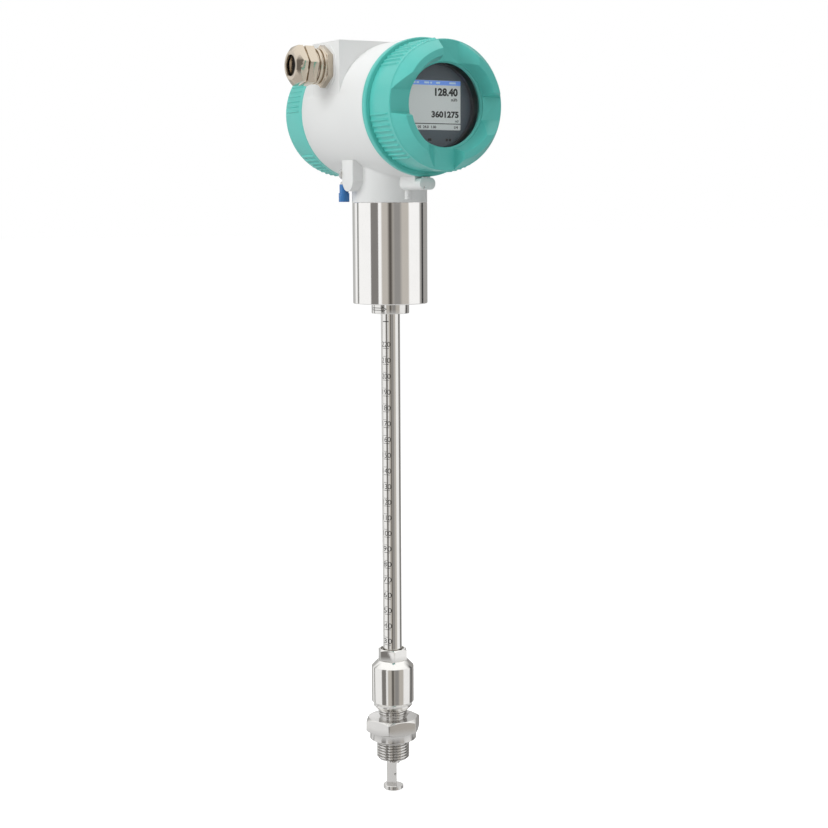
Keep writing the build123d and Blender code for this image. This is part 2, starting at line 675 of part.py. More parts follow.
with BuildPart() as display_bezel:
    with BuildSketch(front_plane.offset(BOARD_FRONT)):
        Circle(BEZEL_R)
    extrude(amount=BEZEL_FRONT - BOARD_FRONT)
    with BuildSketch(front_plane.offset(BOARD_FRONT)):
        Circle(BEZEL_R - BEZEL_WALL)
    extrude(amount=BEZEL_FRONT - BEZEL_FACE - BOARD_FRONT, mode=Mode.SUBTRACT)
    with BuildSketch(front_plane.offset(BEZEL_FRONT)):
        with Locations((0, SCREEN_Z)):
            Rectangle(SCREEN_W, SCREEN_H)
    extrude(amount=-BEZEL_FACE, mode=Mode.SUBTRACT)

with BuildPart() as display_panel:
    with BuildSketch(front_plane.offset(BOARD_FRONT)):
        with Locations((0, SCREEN_Z)):
            Rectangle(PANEL_W, PANEL_H)
    extrude(amount=BEZEL_FRONT - BEZEL_FACE - BOARD_FRONT)
    with BuildSketch(front_plane.offset(BEZEL_FRONT - BEZEL_FACE)):
        with Locations((0, SCREEN_Z)):
            Rectangle(SCREEN_W - 0.2, SCREEN_H - 0.2)
    extrude(amount=BEZEL_FACE - 0.3)

with BuildPart() as display_board:
    with BuildSketch(front_plane.offset(BOARD_FRONT - BOARD_THICK)):
        Circle(BEZEL_R)
        with PolarLocations(STANDOFF_RADIUS, 3, start_angle=90):
            Circle(1.25, mode=Mode.SUBTRACT)
    extrude(amount=BOARD_THICK)

with BuildPart() as board_standoffs:
    with BuildSketch(front_plane.offset(PARTITION_FRONT)):
        with PolarLocations(STANDOFF_RADIUS, 3, start_angle=90):
            RegularPolygon(STANDOFF_R, 6)
            Circle(1.0, mode=Mode.SUBTRACT)
    extrude(amount=BOARD_FRONT - BOARD_THICK - PARTITION_FRONT)

with BuildPart() as board_screws:
    with BuildSketch(front_plane.offset(BOARD_FRONT)):
        with PolarLocations(STANDOFF_RADIUS, 3, start_angle=90):
            Circle(1.8)
    extrude(amount=1.4)
    with BuildSketch(front_plane.offset(BOARD_FRONT - 6)):
        with PolarLocations(STANDOFF_RADIUS, 3, start_angle=90):
            Circle(0.98)
    extrude(amount=6)

# Terminals in the rear compartment, on a board carried by four spacers.
with BuildPart() as terminal_spacers:
    with BuildSketch(front_plane.offset(PARTITION_FRONT - PARTITION_THICK)):
        with GridLocations(TERMINAL_W - 8, TERMINAL_H - 8, 2, 2):
            Circle(2.4)
    extrude(amount=-TERMINAL_LIFT)

with BuildPart() as terminal_board:
    with BuildSketch(front_plane.offset(PARTITION_FRONT - PARTITION_THICK - TERMINAL_LIFT)):
        Rectangle(TERMINAL_W, TERMINAL_H)
    extrude(amount=-BOARD_THICK)

terminal_plane = front_plane.offset(PARTITION_FRONT - PARTITION_THICK - TERMINAL_LIFT - BOARD_THICK)
with BuildPart() as terminal_blocks:
    with BuildSketch(terminal_plane):
        with Locations((0, TERMINAL_H / 4), (0, -TERMINAL_H / 4)):
            Rectangle(TERMINAL_W - 10, 10)
    extrude(amount=-TERMINAL_HEIGHT)
    with BuildSketch(terminal_plane.offset(-TERMINAL_HEIGHT)):
        with Locations((0, TERMINAL_H / 4), (0, -TERMINAL_H / 4)):
            with GridLocations((TERMINAL_W - 11) / 6, 1, 6, 1):
                Circle(1.7)
    extrude(amount=2.5, mode=Mode.SUBTRACT)

# Cable gland: hexagon adapter in the housing, body, cap and rubber insert.
with BuildPart() as gland_adapter:
    with BuildSketch(gland_plane.offset(SPOT_RAISE)):
        RegularPolygon(GLAND_AF / 2, 6, major_radius=False, rotation=30)
    extrude(amount=3.8)
    chamfer(edges().group_by(Axis.X)[0], 0.5)
    with BuildSketch(gland_plane.offset(SPOT_RAISE - 12)):
        Circle(GLAND_THREAD_R)
    extrude(amount=12)
    with BuildSketch(gland_plane.offset(4.3)):
        Circle(GLAND_AF / 2)
    extrude(amount=1.4)
    with BuildSketch(gland_plane.offset(5.7)):
        Circle(GLAND_THREAD_R - 0.4)
    extrude(amount=4.2)
    with BuildSketch(gland_plane.offset(6.8)):
        Circle(GLAND_AF / 2 - 0.2)
    extrude(amount=1.8)
    with BuildSketch(gland_plane.offset(SPOT_RAISE - 12)):
        Circle(GLAND_BORE_R)
    extrude(amount=24, mode=Mode.SUBTRACT)

with BuildPart() as gland_body:
    with BuildSketch(gland_plane.offset(9.9)):
        RegularPolygon(GLAND_AF / 2, 6, major_radius=False, rotation=7)
    extrude(amount=6.2)
    chamfer(edges().group_by(Axis.X)[-1], 0.5)
    with BuildSketch(gland_plane.offset(-4)):
        Circle(GLAND_BORE_R - SCREW_GAP)
    extrude(amount=13.9)
    with BuildSketch(gland_plane.offset(16.1)):
        Circle(GLAND_NOSE_R)
    extrude(amount=5)
    with BuildSketch(gland_plane.offset(-4)):
        Circle(GLAND_BORE_R - 1.7)
    extrude(amount=26, mode=Mode.SUBTRACT)
    with BuildSketch(gland_plane.offset(11)):
        Circle(GLAND_SEAL_R)
    extrude(amount=11, mode=Mode.SUBTRACT)

with BuildPart() as gland_cap:
    with BuildSketch(Plane.XY.offset(GLAND_Z)):
        with BuildLine():
            Polyline(
                (BOSS_X - 16.3, GLAND_Y),
                (BOSS_X - 16.3, GLAND_Y + GLAND_AF / 2 - 0.6),
                (BOSS_X - 17.3, GLAND_Y + GLAND_AF / 2 - 0.6),
                (BOSS_X - 17.3, GLAND_Y + GLAND_AF / 2 + 1.7),
                (BOSS_X - 20.2, GLAND_Y + GLAND_AF / 2 + 1.7),
                (BOSS_X - 22.9, GLAND_Y + GLAND_AF / 2 - 1.4),
                (BOSS_X - 23.6, GLAND_Y + GLAND_AF / 2 - 2.4),
                (BOSS_X - 23.6, GLAND_Y),
                close=True,
            )
        make_face()
    revolve(axis=Axis((BOSS_X, GLAND_Y, GLAND_Z), (-1, 0, 0)))
    with BuildSketch(gland_plane.offset(16.3)):
        RegularPolygon(GLAND_AF / 2, 6, major_radius=False, rotation=9.5)
    extrude(amount=7.3, mode=Mode.INTERSECT)
    with BuildSketch(gland_plane.offset(16.3)):
        Circle(GLAND_NOSE_R + SCREW_GAP)
    extrude(amount=5.0, mode=Mode.SUBTRACT)
    with BuildSketch(gland_plane.offset(16.3)):
        Circle(GLAND_MOUTH_R)
    extrude(amount=8, mode=Mode.SUBTRACT)

with BuildPart() as gland_seal:
    with BuildSketch(gland_plane.offset(11)):
        Circle(GLAND_SEAL_R - SCREW_GAP)
        Circle(GLAND_PASSAGE_R, mode=Mode.SUBTRACT)
    extrude(amount=8)

# Earthing screw with its washers, and the insulated ring terminal it clamps.
earth_plane = Plane(origin=(EARTH_X, LUG_HALF, EARTH_Z), x_dir=(-1, 0, 0), z_dir=(0, 1, 0))
with BuildPart() as earth_screw:
    with BuildSketch(earth_plane.offset(-8)):
        Circle(1.96)
    extrude(amount=10.2)
    with BuildSketch(earth_plane.offset(2.2)):
        Circle(3.5)
    extrude(amount=2.4)
    chamfer(edges().group_by(Axis.Y)[-1], 0.5)
    with BuildSketch(earth_plane.offset(4.6)):
        Rectangle(8, 0.9)
    extrude(amount=-1.2, mode=Mode.SUBTRACT)

with BuildPart() as earth_washer:
    with BuildSketch(earth_plane.offset(0.8)):
        Circle(3.9)
        Circle(2.15, mode=Mode.SUBTRACT)
    extrude(amount=0.8)
    with BuildSketch(earth_plane.offset(1.6)):
        Circle(3.4)
        Circle(2.15, mode=Mode.SUBTRACT)
    extrude(amount=0.6)

with BuildPart() as earth_terminal:
    with BuildSketch(earth_plane):
        Circle(3.8)
        with Locations((0, -3)):
            Rectangle(3.4, 4.4)
        Circle(2.15, mode=Mode.SUBTRACT)
    extrude(amount=0.8)
    with BuildSketch(Plane.YZ.offset(EARTH_X - 1.7)):
        with BuildLine():
            Polyline(
                (LUG_HALF, EARTH_Z - 4.9),
                (LUG_HALF + 0.8, EARTH_Z - 4.0),
                (LUG_HALF + 5, EARTH_Z - 5.2),
                (LUG_HALF + 5, EARTH_Z - 6.2),
                (LUG_HALF + 2.6, EARTH_Z - 6.2),
                (LUG_HALF, EARTH_Z - 5.5),
                close=True,
            )
        make_face()
    extrude(amount=3.4)
    with BuildSketch(Plane.XY.offset(EARTH_Z - 15.5)):
        with Locations((EARTH_X, EARTH_WIRE_Y)):
            Circle(2.2)
            Circle(1.6, mode=Mode.SUBTRACT)
    extrude(amount=9.6)

with BuildPart() as earth_terminal_sleeve:
    with BuildSketch(Plane.XY.offset(EARTH_Z - 17.1)):
        with Locations((EARTH_X, EARTH_WIRE_Y)):
            Circle(3.3)
    extrude(amount=5.5)
    with BuildSketch(Plane.XY.offset(EARTH_Z - 11.6)):
        with Locations((EARTH_X, EARTH_WIRE_Y)):
            Circle(2.8)
    extrude(amount=5.3)
    with BuildSketch(Plane.XY.offset(EARTH_Z - 17.1)):
        with Locations((EARTH_X, EARTH_WIRE_Y)):
            Circle(2.2 + 0.02)
    extrude(amount=12, mode=Mode.SUBTRACT)

with BuildPart() as cover_lock_screw:
    with BuildSketch(Plane.XY.offset(LOCK_FOOT + 0.6)):
        with Locations((0, LOCK_Y)):
            Circle(LOCK_SCREW_R)
    extrude(amount=HEAD_Z - LIP_R - 0.1 - LOCK_FOOT - 0.6)
    with BuildSketch(Plane.XY.offset(LOCK_FOOT + 0.6)):
        with Locations((0, LOCK_Y)):
            RegularPolygon(1.15, 6)
    extrude(amount=2, mode=Mode.SUBTRACT)

pieces = {
    "process_connection": process_connection,
    "clamping_sleeve": clamping_sleeve,
    "compression_nut": compression_nut,
    "clamping_ring": clamping_ring,
    "shaft_seal": shaft_seal,
    "probe_shaft": probe_shaft,
    "probe_tip": probe_tip,
    "pressure_tubes": pressure_tubes,
    "arrow_ring": arrow_ring,
    "sensor_sleeve": sensor_sleeve,
    "sensor_manifold": sensor_manifold,
    "sensor_board": sensor_board,
    "housing_body": housing_body,
    "sleeve_seal": sleeve_seal,
    "front_cover": front_cover,
    "rear_cover": rear_cover,
    "front_cover_seal": front_cover_seal,
    "rear_cover_seal": rear_cover_seal,
    "window_glass": window_glass,
    "window_gasket": window_gasket,
    "window_retainer": window_retainer,
    "display_bezel": display_bezel,
    "display_panel": display_panel,
    "display_board": display_board,
    "board_standoffs": board_standoffs,
    "board_screws": board_screws,
    "terminal_spacers": terminal_spacers,
    "terminal_board": terminal_board,
    "terminal_blocks": terminal_blocks,
    "gland_adapter": gland_adapter,
    "gland_body": gland_body,
    "gland_cap": gland_cap,
    "gland_seal": gland_seal,
    "earth_screw": earth_screw,
    "earth_washer": earth_washer,
    "earth_terminal": earth_terminal,
    "earth_terminal_sleeve": earth_terminal_sleeve,
    "cover_lock_screw": cover_lock_screw,
}
for name, piece in pieces.items():
    piece.part.label = name
    export_step(piece.part, f"parts/{name}.step")
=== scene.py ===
import math

import bpy
from mathutils import Matrix, Vector


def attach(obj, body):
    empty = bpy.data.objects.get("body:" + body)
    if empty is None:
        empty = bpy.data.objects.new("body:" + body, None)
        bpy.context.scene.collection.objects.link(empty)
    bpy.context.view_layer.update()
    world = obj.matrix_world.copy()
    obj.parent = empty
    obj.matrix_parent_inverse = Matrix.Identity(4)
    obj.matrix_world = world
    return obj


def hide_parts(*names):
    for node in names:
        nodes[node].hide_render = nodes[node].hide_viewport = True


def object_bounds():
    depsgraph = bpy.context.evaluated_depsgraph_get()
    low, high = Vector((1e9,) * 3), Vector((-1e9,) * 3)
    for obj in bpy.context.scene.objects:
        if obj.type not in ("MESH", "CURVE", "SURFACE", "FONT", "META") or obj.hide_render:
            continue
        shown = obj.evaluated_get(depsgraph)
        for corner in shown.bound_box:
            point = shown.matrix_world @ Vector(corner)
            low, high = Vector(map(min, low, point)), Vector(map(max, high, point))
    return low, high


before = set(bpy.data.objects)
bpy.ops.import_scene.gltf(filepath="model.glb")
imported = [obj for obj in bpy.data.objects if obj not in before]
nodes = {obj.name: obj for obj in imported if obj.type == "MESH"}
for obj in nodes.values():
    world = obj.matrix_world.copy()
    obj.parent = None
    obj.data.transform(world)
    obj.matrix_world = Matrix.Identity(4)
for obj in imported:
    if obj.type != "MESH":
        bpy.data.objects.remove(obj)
cad_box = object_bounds()
scene = bpy.context.scene
mm = 0.001

# Camera: a short telephoto a little over a metre away, level with the middle of the sensor,
# to the left of the display and tilted down towards the fitting.
camera_place = Vector((-0.49856, -0.91659, 0.339535))
camera_heading = math.atan2(0.87173, 0.48998)
camera_pitch = math.radians(7.051)
camera_roll = math.radians(0.273)
forward = Vector((
    math.cos(camera_heading) * math.cos(camera_pitch),
    math.sin(camera_heading) * math.cos(camera_pitch),
    -math.sin(camera_pitch),
))
right = forward.cross(Vector((0, 0, 1))).normalized()
up = right.cross(forward)
rolled_right = right * math.cos(camera_roll) - up * math.sin(camera_roll)
rolled_up = right * math.sin(camera_roll) + up * math.cos(camera_roll)
camera_data = bpy.data.cameras.new("camera")
camera_data.lens = 72.43
camera_data.sensor_width = 36.0
camera = bpy.data.objects.new("camera", camera_data)
scene.collection.objects.link(camera)
camera_turn = Matrix((rolled_right, rolled_up, -forward)).transposed().to_4x4()
camera.matrix_world = Matrix.Translation(camera_place) @ camera_turn
scene.camera = camera
scene.view_settings.view_transform = "Standard"


# Studio: a white room, in which metal and glass mirror a ring of tall soft boxes with black
# and grey flags between them.  The flags draw the upright bands on turned steel.
class Wire:
    """The output socket of a node; Python's operators join it to more Math nodes."""

    def __init__(self, tree, socket):
        self.tree = tree
        self.socket = socket

    def math(self, operation, *values):
        node = self.tree.nodes.new("ShaderNodeMath")
        node.operation = operation
        for slot, value in zip(node.inputs, values):
            set_socket(slot, value)
        return Wire(self.tree, node.outputs[0])

    def __add__(self, other):
        return self.math("ADD", self, other)

    def __sub__(self, other):
        return self.math("SUBTRACT", self, other)

    def __rsub__(self, other):
        return self.math("SUBTRACT", other, self)

    def __mul__(self, other):
        return self.math("MULTIPLY", self, other)

    def __mod__(self, other):
        return self.math("FLOORED_MODULO", self, other)

    __radd__ = __add__
    __rmul__ = __mul__


def set_socket(slot, value):
    if isinstance(value, Wire):
        value.tree.links.new(value.socket, slot)
    else:
        slot.default_value = value


class Shader:
    """The node tree of a material or of the world."""

    def __init__(self, owner):
        owner.use_nodes = True
        self.tree = owner.node_tree
        self.tree.nodes.clear()

    def make(self, kind, settings=None, sockets=None):
        made = self.tree.nodes.new(kind)
        for name, value in (settings or {}).items():
            setattr(made, name, value)
        for name, value in (sockets or {}).items():
            set_socket(made.inputs[name], value)
        return made

    def node(self, kind, settings=None, sockets=None, output=0):
        """One output of a new node."""
        return Wire(self.tree, self.make(kind, settings, sockets).outputs[output])

    def parts(self, vector):
        """The X, Y and Z of a vector."""
        split = self.make("ShaderNodeSeparateXYZ", sockets={"Vector": vector})
        return [Wire(self.tree, part) for part in split.outputs]

    def blend(self, share, first, second):
        """One colour over another, by a share from 0 to 1."""
        return self.node(
            "ShaderNodeMix", {"data_type": "RGBA"}, {0: share, 6: first, 7: second}, output=2
        )

    def mix(self, share, first, second):
        """One shader over another, by a share from 0 to 1."""
        return self.node("ShaderNodeMixShader", sockets={0: share, 1: first, 2: second})

    def close(self, surface, kind="ShaderNodeOutputMaterial"):
        self.make(kind, sockets={"Surface": surface})


room = bpy.data.worlds.new("studio")
scene.world = room
sky = Shader(room)
ray_way = sky.node("ShaderNodeTexCoord", output="Generated")
ray_east, ray_north, ray_height = sky.parts(ray_way)
ray_azimuth = ray_north.math("ARCTAN2", ray_north, ray_east)
camera_side = math.atan2(camera_place.y, camera_place.x)
ring_turn = (ray_azimuth - camera_side + math.pi) % (2 * math.pi)
ring_angle = ring_turn * (180 / math.pi) - 180
ring = (1.0, 1.0, 1.0, 1)
# Each screen hangs at an angle round the room from the camera's side, and hides the white wall.
for screen_angle, half_width, softness, tone in (
    (-152, 17, 8, (0.50, 0.50, 0.49)),
    (-116, 4.5, 2, (0.30, 0.30, 0.29)),
    (-48.5, 12.5, 1.5, (0.23, 0.22, 0.21)),
    (17, 43, 3, (0.54, 0.51, 0.47)),
    (22, 12, 6, (0.30, 0.29, 0.28)),
    (1, 6, 5, (0.10, 0.09, 0.08)),
    (142, 38, 4, (0.36, 0.35, 0.34)),
    (119, 5, 2, (0.04, 0.04, 0.04)),
):
    from_screen = ring_angle - screen_angle
    away = from_screen.math("ABSOLUTE", from_screen)
    hidden = sky.node(
        "ShaderNodeMapRange",
        {"interpolation_type": "SMOOTHSTEP"},
        {"Value": away, "From Min": half_width + softness, "From Max": half_width - softness},
    )
    ring = sky.blend(hidden, ring, (*tone, 1))
ceiling_share = sky.node(
    "ShaderNodeMapRange", sockets={"Value": ray_height, "From Min": 0.35, "From Max": 0.75}
)
ground_share = sky.node(
    "ShaderNodeMapRange", sockets={"Value": ray_height, "From Min": -0.30, "From Max": -0.60}
)
under_ceiling = sky.blend(ceiling_share, ring, (1.25, 1.25, 1.24, 1))
over_ground = sky.blend(ground_share, under_ceiling, (0.7, 0.7, 0.7, 1))
mirrored = sky.node("ShaderNodeBackground", sockets={"Color": over_ground})
seen = sky.node("ShaderNodeBackground", sockets={"Color": (1, 1, 1, 1)})
ambient = sky.node("ShaderNodeBackground", sockets={"Color": (0.98, 0.99, 1, 1), "Strength": 0.36})
for_metal = sky.mix(sky.node("ShaderNodeLightPath", output="Is Glossy Ray"), ambient, mirrored)
for_glass = sky.mix(sky.node("ShaderNodeLightPath", output="Is Transmission Ray"), for_metal, seen)
sky.close(
    sky.mix(sky.node("ShaderNodeLightPath", output="Is Camera Ray"), for_glass, seen),
    "ShaderNodeOutputWorld",
)

for name, place, target, size, watts in (
    ("left_soft_box", (-1.7, 0.1, 1.1), (0, 0, 0.36), 1.1, 19),
    ("front_fill", (-0.2, -1.7, 1.2), (0, 0, 0.3), 1.2, 6),
    ("top_soft_box", (0.1, 0.0, 1.7), (0, 0, 0.36), 0.9, 6.5),
):
    lamp_data = bpy.data.lights.new(name, "AREA")
    lamp_data.energy = watts
    lamp_data.size = size
    lamp = bpy.data.objects.new(name, lamp_data)
    scene.collection.objects.link(lamp)
    lamp.visible_glossy = False
    lamp.location = place
    lamp.rotation_euler = (Vector(target) - Vector(place)).to_track_quat("-Z", "Y").to_euler()

# Floor: a pale sheet under the tip of the probe.  It keeps the shadow, and the camera sees the
# rest of it as white as the room.
bpy.ops.object.select_all(action="DESELECT")
bpy.ops.mesh.primitive_plane_add(size=40, location=(0, 0, cad_box[0].z - 0.0004))
floor = bpy.context.object
floor.name = "floor"
paper = bpy.data.materials.new("floor_paper")
sheet = Shader(paper)
matt = sheet.node("ShaderNodeBsdfDiffuse", sockets={"Color": (0.75, 0.75, 0.75, 1)})
glow = sheet.node("ShaderNodeEmission", sockets={"Color": (1, 1, 1, 1), "Strength": 0.76})
lifted = sheet.node("ShaderNodeAddShader", sockets={0: matt, 1: glow})
clear = sheet.node("ShaderNodeBsdfTransparent")
floor_seen = sheet.mix(sheet.node("ShaderNodeLightPath", output="Is Camera Ray"), matt, lifted)
sheet.close(sheet.mix(sheet.node("ShaderNodeLightPath", output="Is Glossy Ray"), floor_seen, clear))
floor.data.materials.append(paper)


# Process connection: one stainless bar, turned, milled to a hexagon of 32 mm and threaded
# G 1/2 below its seat, with a finer thread for the clamping sleeve above.
def only(piece):
    bpy.ops.object.select_all(action="DESELECT")
    piece.select_set(True)
    bpy.context.view_layer.objects.active = piece


def edit(piece):
    only(piece)
    bpy.ops.object.mode_set(mode="EDIT")
    bpy.ops.mesh.select_all(action="SELECT")


def merged_copy(node, name):
    """A new piece from a CAD node's mesh, whose loose triangles are joined into faces."""
    piece = bpy.data.objects.new(name, nodes[node].data.copy())
    scene.collection.objects.link(piece)
    piece.data.materials.clear()
    edit(piece)
    bpy.ops.mesh.customdata_custom_splitnormals_clear()
    bpy.ops.mesh.remove_doubles(threshold=0.002 * mm)
    bpy.ops.mesh.dissolve_limited(angle_limit=math.radians(0.8))
    bpy.ops.object.mode_set(mode="OBJECT")
    return piece


def apply(piece, name):
    only(piece)
    bpy.ops.object.modifier_apply(modifier=name)


def round_edges(piece, width, over=50, segments=2):
    bevel = piece.modifiers.new("rounded", "BEVEL")
    bevel.width = width * mm
    bevel.segments = segments
    bevel.limit_method = "ANGLE"
    bevel.angle_limit = math.radians(over)
    bevel.use_clamp_overlap = True
    apply(piece, "rounded")


def smooth(piece, degrees=25):
    only(piece)
    bpy.ops.object.shade_smooth_by_angle(angle=math.radians(degrees))


def cut(piece, tool):
    step = piece.modifiers.new("cut", "BOOLEAN")
    step.operation = "DIFFERENCE"
    step.solver = "EXACT"
    step.object = tool
    apply(piece, "cut")
    bpy.data.objects.remove(tool)


def turned(name, outline, steps=128):
    """Lathe work: a closed outline of radii and heights in millimetres, swept round the axis."""
    bpy.ops.object.select_all(action="DESELECT")
    radius, height = outline[0]
    bpy.ops.mesh.primitive_plane_add(size=mm, location=(radius * mm, 0, height * mm))
    piece = bpy.context.object
    piece.name = name
    bpy.ops.object.transform_apply(location=True)
    edit(piece)
    bpy.ops.mesh.merge(type="CENTER")
    for next_radius, next_height in outline[1:] + outline[:1]:
        step = ((next_radius - radius) * mm, 0, (next_height - height) * mm)
        bpy.ops.mesh.extrude_region_move(TRANSFORM_OT_translate={"value": step})
        radius, height = next_radius, next_height
    bpy.ops.mesh.select_all(action="SELECT")
    bpy.ops.mesh.remove_doubles(threshold=0.004 * mm)
    bpy.ops.object.mode_set(mode="OBJECT")
    lathe = piece.modifiers.new("lathe", "SCREW")
    lathe.axis = "Z"
    lathe.steps = steps
    lathe.render_steps = steps
    lathe.use_merge_vertices = False
    apply(piece, "lathe")
    edit(piece)
    bpy.ops.mesh.normals_make_consistent(inside=False)
    bpy.ops.object.mode_set(mode="OBJECT")
    return piece


def thread_tool(crest_radius, depth, pitch, low, high, steps=48):
    """A helical groove cutter: narrow at the root of the thread and wide outside its crest."""
    bpy.ops.object.select_all(action="DESELECT")
    out, root_width, flare = 0.25, 0.22, 3.4
    bpy.ops.mesh.primitive_plane_add(size=1, rotation=(math.pi / 2, 0, 0))
    tool = bpy.context.object
    tool.scale = ((depth + out) * mm, root_width * pitch * mm, 1)
    tool.location = ((crest_radius - depth + (depth + out) / 2) * mm, 0, low * mm)
    bpy.ops.object.transform_apply(location=True, rotation=True, scale=True)
    edit(tool)
    bpy.ops.mesh.select_all(action="DESELECT")
    bpy.ops.object.mode_set(mode="OBJECT")
    for vertex in tool.data.vertices:
        vertex.select = vertex.co.x > crest_radius * mm
    bpy.ops.object.mode_set(mode="EDIT")
    bpy.ops.transform.resize(value=(1, 1, flare), center_override=(0, 0, low * mm))
    bpy.ops.object.mode_set(mode="OBJECT")
    helix = tool.modifiers.new("helix", "SCREW")
    helix.axis = "Z"
    helix.steps = steps
    helix.render_steps = steps
    helix.iterations = math.ceil((high - low) / pitch)
    helix.screw_offset = pitch * mm
    helix.use_merge_vertices = False
    apply(tool, "helix")
    edit(tool)
    bpy.ops.mesh.remove_doubles(threshold=0.001 * mm)
    bpy.ops.mesh.fill_holes(sides=4)
    bpy.ops.mesh.normals_make_consistent(inside=False)
    bpy.ops.object.mode_set(mode="OBJECT")
    return tool


connection = merged_copy("process_connection", "threaded_connection")
round_edges(connection, 0.3)
pipe_crest, pipe_depth, pipe_pitch = 10.48, 1.16, 1.814
neck_crest, neck_depth, neck_pitch = 9.2, 0.9, 1.5
relief = turned("relief_tool", [(9.3, -1.8), (9.3, 0.0), (12.0, 0.0), (12.0, -4.2), (10.8, -3.3)])
cut(connection, relief)
cut(connection, thread_tool(pipe_crest, pipe_depth, pipe_pitch, low=-16.7, high=-2.2))
cut(connection, thread_tool(neck_crest, neck_depth, neck_pitch, low=14.6, high=20.5))
smooth(connection)


def finish(name):
    material = bpy.data.materials.new(name + "_finish")
    return Shader(material), material


def dress(piece, material):
    piece.data.materials.clear()
    piece.data.materials.append(material)


def two_tone(shader, share, colour, darker, lighter):
    """A colour that drifts between a darker and a lighter shade of itself."""
    shades = [(*(min(1, part * factor) for part in colour), 1) for factor in (darker, lighter)]
    return shader.blend(share, *shades)


def metal(name, colour, roughness, line_pitch=0.12, line_depth=0.004, mottle=0.05, axis="Z"):
    """Turned metal: fine tool lines round its axis, and a faint mottling."""
    shader, material = finish(name)
    place = shader.node("ShaderNodeTexCoord", output="Object")
    along = shader.parts(place)["XYZ".index(axis)]
    lines = shader.node(
        "ShaderNodeTexNoise",
        {"noise_dimensions": "1D"},
        {"W": along, "Scale": 1 / (line_pitch * mm), "Detail": 2.0},
    )
    blotch = shader.node(
        "ShaderNodeTexNoise", sockets={"Vector": place, "Scale": 90.0, "Detail": 3.0}
    )
    tone = two_tone(shader, blotch, colour, 1 - mottle, 1 + mottle)
    bump = shader.node(
        "ShaderNodeBump", sockets={"Height": lines, "Strength": 0.35, "Distance": line_depth * mm}
    )
    surface = shader.node(
        "ShaderNodeBsdfPrincipled",
        sockets={
            "Base Color": tone,
            "Metallic": 1.0,
            "Roughness": (lines * 0.3 + blotch * 0.4 + 0.65) * roughness,
            "Normal": bump,
        },
    )
    shader.close(surface)
    return material


milled_steel = metal(
    "milled_steel", (0.69, 0.68, 0.665), 0.16, line_pitch=0.25, line_depth=0.002
)
dress(connection, milled_steel)
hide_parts("process_connection")
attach(connection, "fitting")

# Clamping sleeve: turned from stainless bar and screwed down over the neck of the connection.
# Its upper cone carries the compression nut.
turned_steel = metal("turned_steel", (0.80, 0.79, 0.77), 0.11)
sleeve = turned("union_sleeve", [
    (9.25, 19.3), (9.75, 19.3), (12.1, 21.8), (12.3, 22.1), (12.3, 23.4), (12.45, 23.75),
    (13.35, 24.75), (13.5, 25.05), (13.5, 47.85), (13.35, 48.25), (9.75, 51.95), (9.5, 52.1),
    (8.05, 52.1), (8.05, 41.0), (6.5, 38.4), (6.5, 36.0), (9.25, 36.0),
], 160)
smooth(sleeve)
dress(sleeve, turned_steel)
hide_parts("clamping_sleeve")
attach(sleeve, "fitting")

# Compression nut: a stainless hexagon of 17 mm with its corners turned away.  It is screwed into
# the sleeve and presses a ring on the tube.
nut = merged_copy("compression_nut", "pressure_nut")
round_edges(nut, 0.25)
smooth(nut)
dress(nut, turned_steel)
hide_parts("compression_nut")
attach(nut, "fitting")

# Probe: a stainless tube of 12 mm, ground bright, that slides in the fitting.  It carries the
# head at its upper end and the blade at its lower one.
probe_steel = metal(
    "probe_steel", (0.82, 0.81, 0.79), 0.085, line_pitch=0.25, line_depth=0.002
)
tube_radius = 6.0
tube = turned("probe_tube", [
    (5.6, -9.0), (tube_radius, -8.6), (tube_radius, 290.0), (4.6, 290.0), (4.6, -9.0),
])
smooth(tube)
dress(tube, probe_steel)
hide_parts("probe_shaft")
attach(tube, "probe")


# Scale: numbers every 10 mm with a line under each and a short line half way, burnt dark into
# the tube by laser, and a heavier line for the shallowest setting.
mark_thickness = 0.02


def lettering(words, height, bold=0.0):
    """Letters made mesh, with their lower left corner at the origin and their faces up."""
    bpy.ops.object.select_all(action="DESELECT")
    bpy.ops.object.text_add()
    text = bpy.context.object
    text.data.body = words
    text.data.resolution_u = 3
    text.data.offset = bold
    text.data.extrude = 0.5
    bpy.ops.object.convert(target="MESH")
    text = bpy.context.object
    low = Vector(min(c) for c in zip(*(v.co for v in text.data.vertices)))
    high = Vector(max(c) for c in zip(*(v.co for v in text.data.vertices)))
    text.location = -low
    bpy.ops.object.transform_apply(location=True)
    scale = height * mm / (high.y - low.y)
    text.scale = (scale, scale, mark_thickness * mm)
    bpy.ops.object.transform_apply(scale=True)
    return text


def bar(width, height, cuts=0):
    """A flat bar with its lower left corner at the origin, cut across for wrapping."""
    bpy.ops.object.select_all(action="DESELECT")
    bpy.ops.mesh.primitive_cube_add(size=1, location=(0.5, 0.5, 0.5))
    made = bpy.context.object
    bpy.ops.object.transform_apply(location=True)
    made.scale = (width * mm, height * mm, mark_thickness * mm)
    bpy.ops.object.transform_apply(scale=True)
    for step in range(cuts):
        edit(made)
        place = width * mm * (step + 1) / (cuts + 1)
        bpy.ops.mesh.bisect(plane_co=(place, 0, 0), plane_no=(1, 0, 0))
        bpy.ops.object.mode_set(mode="OBJECT")
    return made


def slide(piece, x, y, z=0.0):
    piece.location = (x * mm, y * mm, z * mm)
    only(piece)
    bpy.ops.object.transform_apply(location=True)
    return piece


def join(pieces, name):
    bpy.ops.object.select_all(action="DESELECT")
    for piece in pieces:
        piece.select_set(True)
    bpy.context.view_layer.objects.active = pieces[0]
    bpy.ops.object.join()
    pieces[0].name = name
    return pieces[0]


def turn(piece, x=0.0, z=0.0):
    piece.rotation_euler = (x, 0, z)
    only(piece)
    bpy.ops.object.transform_apply(rotation=True)
    return piece


